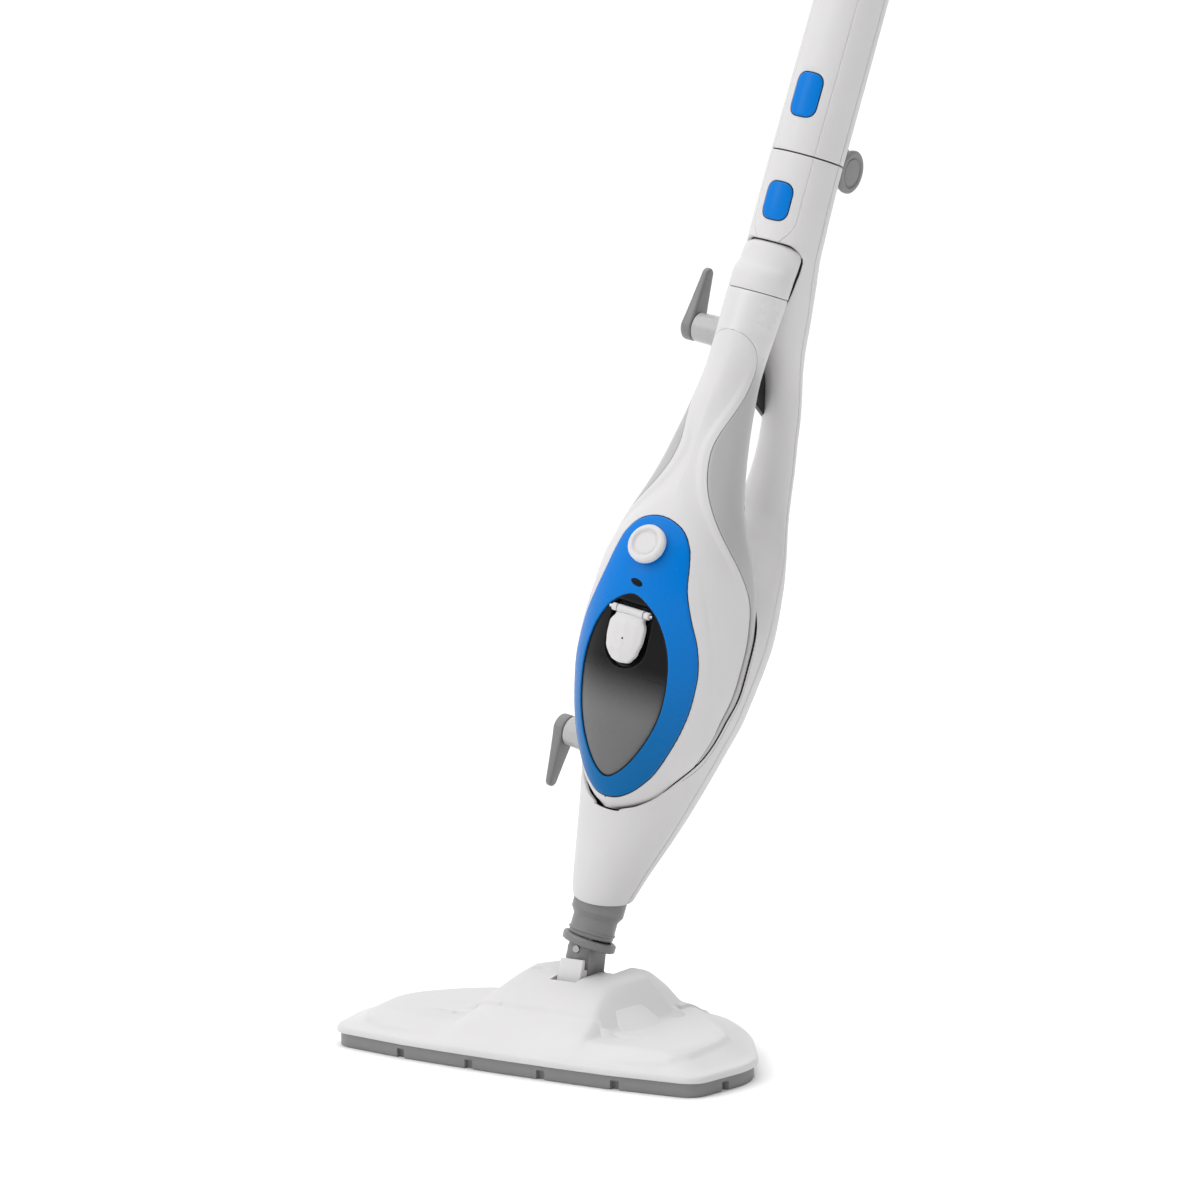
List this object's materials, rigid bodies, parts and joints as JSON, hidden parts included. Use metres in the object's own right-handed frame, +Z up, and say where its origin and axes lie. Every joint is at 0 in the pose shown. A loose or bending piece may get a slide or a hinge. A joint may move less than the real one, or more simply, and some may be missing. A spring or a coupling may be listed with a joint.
{
  "type": "steam mop",
  "caption": "Upright steam mop: wedge-shaped floor head, two-way neck, frame with lift-off handheld steamer, and an upper pole that folds back, with a loop grip.",
  "frame": {"origin": "on the floor, at the middle of the flat sole of the head", "axes": "+Z up from the floor, +X to the mop's right as seen from the front, -Y to the front edge of the head"},
  "size_m": [0.3519, 0.3716, 1.0844],
  "materials": {
    "white": "gloss",
    "pale_grey": "satin",
    "mid_grey": "satin",
    "base_grey": "matte",
    "blue": "gloss",
    "black": "gloss",
    "smoke": "clear smoked",
    "rubber": "matte",
    "circuit": "matte",
    "steel": "brushed",
    "brass": "satin",
    "aluminium": "cast"
  },
  "bodies": {
    "head": {"head_cover": "white", "base_plate": "base_grey", "pitch_axle": "steel", "steam_spreader": "brass", "head_screw_1": "steel", "head_screw_2": "steel", "head_screw_3": "steel", "head_screw_4": "steel"},
    "yoke": {"yoke": "mid_grey", "yoke_apron": "white", "roll_pin": "steel"},
    "frame": {"lower_neck": "mid_grey", "neck_collar": "mid_grey", "neck_tube": "mid_grey", "steam_tube": "rubber", "frame_shell": "white", "rear_cover": "white", "cover_screw_1": "steel", "cover_screw_2": "steel", "cover_screw_3": "steel", "front_panel": "white", "lower_latch_bar": "pale_grey", "hinge_pin": "steel", "dock_seal": "rubber", "dock_web": "black", "upper_hook_boss": "pale_grey", "upper_hook_screw": "steel", "lower_hook_boss": "pale_grey", "lower_hook_screw": "steel"},
    "upper_hook_lever": {"upper_hook_lever": "mid_grey"},
    "lower_hook_lever": {"lower_hook_lever": "mid_grey"},
    "handheld": {"handheld_front": "white", "handheld_rear": "pale_grey", "end_cap": "white", "blue_bezel": "blue", "indicator_lens": "black", "water_tank": "smoke", "filler_well": "black", "boiler": "aluminium", "thermostat": "black", "pump": "black", "circuit_board": "circuit", "steam_outlet": "brass", "pump_hose": "rubber", "cap_hinge_pin": "steel"},
    "dial": {"steam_dial": "white", "dial_shaft": "pale_grey"},
    "filler_lid": {"filler_cap": "white"},
    "lower_button": {"lower_button": "blue"},
    "upper_pole": {"upper_tube": "white", "upper_panel": "white", "upper_latch_bar": "pale_grey", "hinge_cap_1": "base_grey", "hinge_cap_2": "base_grey", "loop_grip": "white", "grip_pad": "mid_grey"},
    "upper_button": {"upper_button": "blue"}
  },
  "joints": [
    {"name": "neck_pitch", "type": "hinge", "parent": "head", "child": "yoke", "pos_m": [0, 0.0139, 0.038], "axis": [1, 0, 0], "range_deg": [-45, 13]},
    {"name": "neck_roll", "type": "hinge", "parent": "yoke", "child": "frame", "pos_m": [0, 0.01893, 0.06085], "axis": [0, 0.9767, -0.2147], "range_deg": [-46, 24]},
    {"name": "upper_hook_turn", "type": "hinge", "parent": "frame", "child": "upper_hook_lever", "pos_m": [0.01516, 0.12589, 0.45422], "axis": [0.9829, -0.0395, -0.1797], "range_deg": [0, 180]},
    {"name": "lower_hook_turn", "type": "hinge", "parent": "frame", "child": "lower_hook_lever", "pos_m": [-0.04311, 0.06251, 0.1939], "axis": [0.9829, -0.0395, -0.1797], "range_deg": [0, 180]},
    {"name": "handheld_lift_off", "type": "slide", "parent": "frame", "child": "handheld", "axis": [0, -0.9767, 0.2147], "range_m": [0, 0.16]},
    {"name": "dial_turn", "type": "hinge", "parent": "handheld", "child": "dial", "pos_m": [0.04801, 0.01522, 0.32434], "axis": [0.0507, -0.8807, 0.471], "range_deg": [0, 240]},
    {"name": "filler_lid_open", "type": "hinge", "parent": "handheld", "child": "filler_lid", "pos_m": [0.04019, 0.00693, 0.28339], "axis": [-0.9829, 0.0395, 0.1797], "range_deg": [0, 100]},
    {"name": "lower_button_press", "type": "slide", "parent": "frame", "child": "lower_button", "axis": [0, 0.9767, -0.2147], "range_m": [0, 0.003], "stiffness_N_per_m": 400},
    {"name": "handle_fold", "type": "hinge", "parent": "frame", "child": "upper_pole", "pos_m": [0.09621, 0.16008, 0.55617], "axis": [-0.9829, 0.0395, 0.1797], "range_deg": [0, 160]},
    {"name": "upper_button_press", "type": "slide", "parent": "upper_pole", "child": "upper_button", "axis": [0, 0.9767, -0.2147], "range_m": [0, 0.003], "stiffness_N_per_m": 400}
  ]
}
